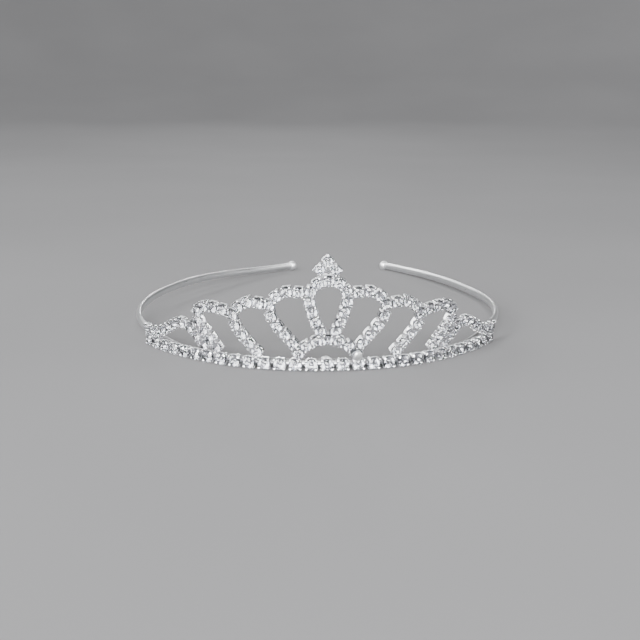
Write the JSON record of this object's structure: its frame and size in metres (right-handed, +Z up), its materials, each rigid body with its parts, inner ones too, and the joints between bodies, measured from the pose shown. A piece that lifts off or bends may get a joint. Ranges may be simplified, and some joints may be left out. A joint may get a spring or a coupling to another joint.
{
  "type": "bridal tiara",
  "caption": "Tiara on a sprung wire headband: a row of square-set clear stones carrying scalloped loops of smaller stones and a three-stone finial.",
  "frame": {"origin": "middle of the underside of the bounding box, on the surface the tiara lies on", "axes": "+Z up, the crown faces -Y, the open ends of the headband point to +Y"},
  "size_m": [0.1392, 0.178, 0.0399],
  "materials": {
    "band_silver": "satin silver plate",
    "setting_silver": "bright silver plate",
    "crystal": "clear faceted glass"
  },
  "bodies": {
    "root": {"headband_wire": "band_silver", "ball_tip_left": "band_silver", "ball_tip_right": "band_silver", "base_cup_chain": "setting_silver", "base_stone_01": "crystal", "base_stone_02": "crystal", "base_stone_03": "crystal", "base_stone_04": "crystal", "base_stone_05": "crystal", "base_stone_06": "crystal", "base_stone_07": "crystal", "base_stone_08": "crystal", "base_stone_09": "crystal", "base_stone_10": "crystal", "base_stone_11": "crystal", "base_stone_12": "crystal", "base_stone_13": "crystal", "base_stone_14": "crystal", "base_stone_15": "crystal", "base_stone_16": "crystal", "base_stone_17": "crystal", "base_stone_18": "crystal", "base_stone_19": "crystal", "base_stone_20": "crystal", "base_stone_21": "crystal", "base_stone_22": "crystal", "base_stone_23": "crystal", "base_stone_24": "crystal", "base_stone_25": "crystal", "base_stone_26": "crystal", "base_stone_27": "crystal", "base_stone_28": "crystal", "base_stone_29": "crystal", "centre_arch": "setting_silver", "centre_loop": "setting_silver", "loop_left_1": "setting_silver", "loop_left_2": "setting_silver", "loop_left_3": "setting_silver", "loop_left_4": "setting_silver", "loop_right_1": "setting_silver", "loop_right_2": "setting_silver", "loop_right_3": "setting_silver", "loop_right_4": "setting_silver", "finial_setting": "setting_silver", "finial_stone_top": "crystal", "finial_stone_left": "crystal", "finial_stone_right": "crystal", "centre_solder_bead": "band_silver"}
  },
  "joints": []
}
